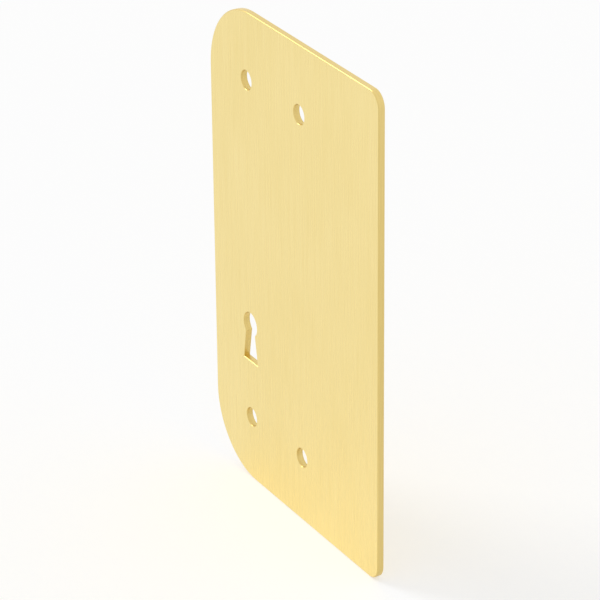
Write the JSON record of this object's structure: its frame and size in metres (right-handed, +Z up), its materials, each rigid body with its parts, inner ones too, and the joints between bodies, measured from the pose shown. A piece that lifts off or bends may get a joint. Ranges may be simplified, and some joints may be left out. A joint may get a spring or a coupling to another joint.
{
  "type": "deadlock anti-thrust plate",
  "caption": "Flat brass plate that laps from an outward-opening door over its frame and covers the gap beside a deadlock, with a keyhole, fixing holes and rounded door-side corners.",
  "frame": {"origin": "middle of the back face, which lies against the door", "axes": "+Z up the plate's height, +X from the door side to the side that laps over the frame, +Y out of the back face into the door; the front looks along -Y"},
  "size_m": [0.11, 0.0025, 0.18],
  "materials": {
    "brass": "satin polished"
  },
  "bodies": {
    "root": {"anti_thrust_plate": "brass"}
  },
  "joints": []
}
